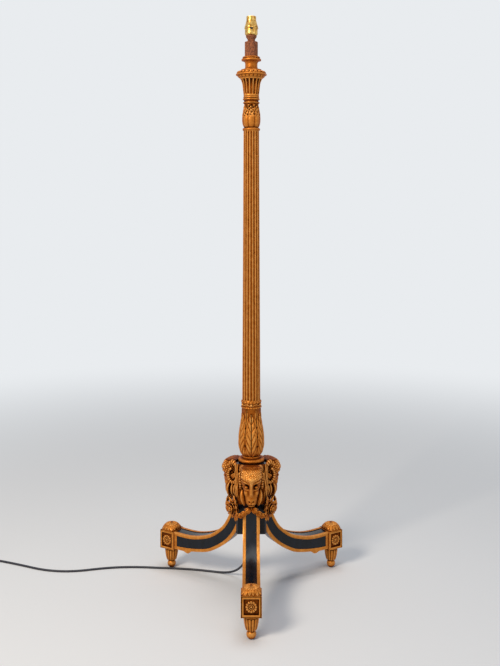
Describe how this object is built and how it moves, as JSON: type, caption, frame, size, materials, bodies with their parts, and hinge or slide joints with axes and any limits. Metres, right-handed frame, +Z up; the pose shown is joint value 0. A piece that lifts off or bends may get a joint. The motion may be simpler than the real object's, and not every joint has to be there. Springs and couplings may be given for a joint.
{
  "type": "candlestick floor lamp",
  "caption": "Gilt carved candlestick floor lamp on a tripod of ebonised legs, with ram heads, flower swags and a switched bayonet lampholder on a candle tube.",
  "frame": {"origin": "on the floor, under the axis of the column", "axes": "+Z up along the column; the front leg points along -Y; +X to the right seen from the front"},
  "size_m": [1.1617, 0.6119, 1.597],
  "materials": {
    "gilt_wood": "water-gilt and toned carved wood",
    "ebonised_wood": "polished black stain",
    "candle_sleeve": "rough painted card tube",
    "holder_brass": "polished",
    "contact_brass": "plain turned",
    "zinc_steel": "zinc plated",
    "phenolic": "moulded phenolic",
    "flex_sheath": "round black sheath",
    "flex_rubber": "moulded rubber",
    "beech_dowel": "fluted beech, glued",
    "plug_plastic": "moulded"
  },
  "bodies": {
    "stand": {"lampholder_barrel": "holder_brass", "lampholder_cap": "holder_brass", "lampholder_insulator": "phenolic", "plunger_spring_front": "zinc_steel", "plunger_spring_back": "zinc_steel", "terminal_screws": "contact_brass", "neck_bush": "candle_sleeve", "candle_sleeve": "candle_sleeve", "candle_socket": "gilt_wood", "drip_pan": "gilt_wood", "fluted_trumpet": "gilt_wood", "upper_collar": "gilt_wood", "acanthus_cup": "gilt_wood", "cup_ring": "gilt_wood", "fluted_shaft": "gilt_wood", "pearl_crown": "gilt_wood", "acanthus_baluster": "gilt_wood", "base_ring": "gilt_wood", "hub_core": "ebonised_wood", "conduit_tube": "zinc_steel", "conduit_nuts": "zinc_steel", "conduit_washers": "zinc_steel", "inner_flex": "flex_sheath", "strain_relief": "flex_rubber", "leg_dowels": "beech_dowel", "foot_dowels": "beech_dowel", "block_rosettes": "gilt_wood", "flex_cord": "flex_sheath", "flex_coil": "flex_sheath", "plug_cover": "plug_plastic", "plug_body": "plug_plastic", "plug_pins": "contact_brass", "ram_head_front": "gilt_wood", "ram_head_left": "gilt_wood", "ram_head_right": "gilt_wood", "leg_front": "ebonised_wood", "leg_left": "ebonised_wood", "leg_right": "ebonised_wood", "leg_gilding_front": "gilt_wood", "leg_gilding_left": "gilt_wood", "leg_gilding_right": "gilt_wood", "corner_block_front": "gilt_wood", "corner_block_left": "gilt_wood", "corner_block_right": "gilt_wood", "dome_cap_front": "gilt_wood", "dome_cap_left": "gilt_wood", "dome_cap_right": "gilt_wood", "foot_front": "gilt_wood", "foot_left": "gilt_wood", "foot_right": "gilt_wood", "husk_swag_front": "gilt_wood", "husk_swag_left": "gilt_wood", "husk_swag_right": "gilt_wood", "flower_cluster_back": "gilt_wood", "flower_cluster_left": "gilt_wood", "flower_cluster_right": "gilt_wood"},
    "shade_ring": {"shade_ring": "holder_brass"},
    "push_bar": {"switch_push_bar": "phenolic"},
    "front_plunger": {"contact_plunger_front": "contact_brass"},
    "back_plunger": {"contact_plunger_back": "contact_brass"}
  },
  "joints": [
    {"name": "shade_ring_turn", "type": "hinge", "parent": "stand", "child": "shade_ring", "pos_m": [0, 0, 1.572], "axis": [0, 0, 1], "range_deg": [0, 720]},
    {"name": "push_bar_slide", "type": "slide", "parent": "stand", "child": "push_bar", "axis": [0, -1, 0], "range_m": [0, 0.006]},
    {"name": "front_plunger_slide", "type": "slide", "parent": "stand", "child": "front_plunger", "axis": [0, 0, -1], "range_m": [0, 0.004], "stiffness_N_per_m": 700, "springref_m": -0.002, "deforming": ["plunger_spring_front"]},
    {"name": "back_plunger_slide", "type": "slide", "parent": "stand", "child": "back_plunger", "axis": [0, 0, -1], "range_m": [0, 0.004], "stiffness_N_per_m": 700, "springref_m": -0.002, "deforming": ["plunger_spring_back"]}
  ]
}
